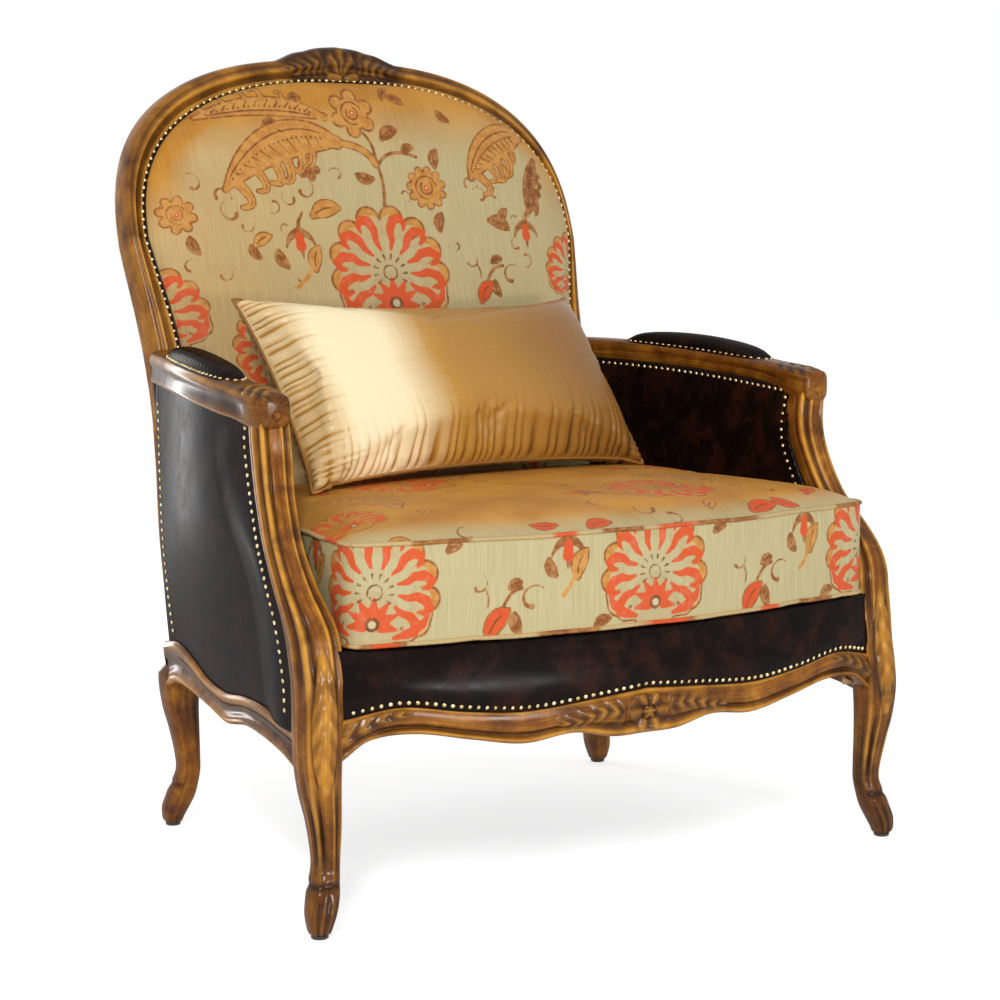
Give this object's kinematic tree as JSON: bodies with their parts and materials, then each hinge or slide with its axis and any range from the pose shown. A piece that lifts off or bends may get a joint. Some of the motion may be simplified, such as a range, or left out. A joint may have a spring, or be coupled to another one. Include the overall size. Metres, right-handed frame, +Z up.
{
  "type": "bergere armchair",
  "caption": "Wide low bergere armchair with an arched moulded wooden frame, cabriole legs, nailed leather arms, a loose brocade seat cushion and a loose lumbar pillow.",
  "frame": {"origin": "on the floor, under the centre of the chair's outline in plan", "axes": "+Z up; the chair faces -Y; +X is to the viewer's right, seen from the front"},
  "size_m": [0.9018, 0.8378, 1.0795],
  "materials": {
    "walnut": "antique walnut, golden brown with darker recesses, rubbed semi-gloss",
    "beech": "plain unfinished beech",
    "leather": "very dark brown polished leather with a fine grain",
    "brocade": "satin brocade, sage khaki ground with coral flowers and copper leaves",
    "silk": "gold slubbed silk",
    "spring_steel": "plain drawn wire",
    "jute": "woven jute webbing",
    "cambric": "black cambric",
    "nylon": "moulded brown nylon",
    "brass": "pale polished upholstery nails"
  },
  "bodies": {
    "frame": {"front_leg_left": "walnut", "front_leg_right": "walnut", "arm_support_left": "walnut", "arm_support_right": "walnut", "arm_rail_left": "walnut", "arm_rail_right": "walnut", "back_post_left": "walnut", "back_post_right": "walnut", "side_rail_left": "walnut", "side_rail_right": "walnut", "crest_rail": "walnut", "front_rail": "walnut", "rear_rail": "walnut", "back_cross_rail": "beech", "arm_pad_left": "leather", "arm_pad_right": "leather", "inner_arm_left": "leather", "inner_arm_right": "leather", "outer_arm_left": "leather", "outer_arm_right": "leather", "front_border": "leather", "outer_back": "leather", "inner_back": "brocade", "seat_deck": "cambric", "seat_webbing": "jute", "seat_spring_1_1": "spring_steel", "seat_spring_1_2": "spring_steel", "seat_spring_1_3": "spring_steel", "seat_spring_2_1": "spring_steel", "seat_spring_2_2": "spring_steel", "seat_spring_2_3": "spring_steel", "seat_spring_3_1": "spring_steel", "seat_spring_3_2": "spring_steel", "seat_spring_3_3": "spring_steel", "dust_cover": "cambric", "corner_block_front_left": "beech", "corner_block_front_right": "beech", "corner_block_rear_left": "beech", "corner_block_rear_right": "beech", "glide_front_left": "nylon", "glide_front_right": "nylon", "glide_rear_left": "nylon", "glide_rear_right": "nylon"},
    "seat_cushion": {"seat_cushion": "brocade"},
    "lumbar_pillow": {"lumbar_pillow": "silk"}
  },
  "joints": [
    {"name": "cushion_lift", "type": "slide", "parent": "frame", "child": "seat_cushion", "axis": [0, 0, 1], "range_m": [0, 0.34]},
    {"name": "pillow_lift", "type": "slide", "parent": "seat_cushion", "child": "lumbar_pillow", "axis": [0, 0, 1], "range_m": [0, 0.3]}
  ]
}
